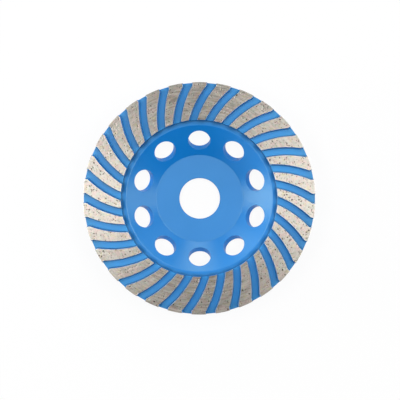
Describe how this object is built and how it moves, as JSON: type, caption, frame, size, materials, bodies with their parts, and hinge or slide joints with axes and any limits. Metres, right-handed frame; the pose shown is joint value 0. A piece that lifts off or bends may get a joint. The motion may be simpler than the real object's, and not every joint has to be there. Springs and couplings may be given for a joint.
{
  "type": "diamond cup wheel",
  "caption": "Cup-shaped grinding wheel: a dished, vented steel cup with a ring of swirling diamond segments round its mouth. It clamps onto an angle grinder's spindle.",
  "frame": {"origin": "centre of the bore on the hub's back face, at the bottom of the wheel as it lies", "axes": "+Z along the bore, from the hub's back towards the abrasive; +Y through the middle of a vent; +X halfway between two vents"},
  "size_m": [0.125, 0.125, 0.0211],
  "materials": {
    "painted_steel": "satin blue paint on pressed and turned steel",
    "diamond_segment": "sintered metal with diamond grit, ground bare on top and painted blue on the sides"
  },
  "bodies": {
    "root": {"cup_body": "painted_steel", "segment_01": "diamond_segment", "segment_02": "diamond_segment", "segment_03": "diamond_segment", "segment_04": "diamond_segment", "segment_05": "diamond_segment", "segment_06": "diamond_segment", "segment_07": "diamond_segment", "segment_08": "diamond_segment", "segment_09": "diamond_segment", "segment_10": "diamond_segment", "segment_11": "diamond_segment", "segment_12": "diamond_segment", "segment_13": "diamond_segment", "segment_14": "diamond_segment", "segment_15": "diamond_segment", "segment_16": "diamond_segment", "segment_17": "diamond_segment", "segment_18": "diamond_segment", "segment_19": "diamond_segment", "segment_20": "diamond_segment", "segment_21": "diamond_segment", "segment_22": "diamond_segment", "segment_23": "diamond_segment", "segment_24": "diamond_segment", "segment_25": "diamond_segment", "segment_26": "diamond_segment", "segment_27": "diamond_segment", "segment_28": "diamond_segment", "segment_29": "diamond_segment", "segment_30": "diamond_segment"}
  },
  "joints": []
}
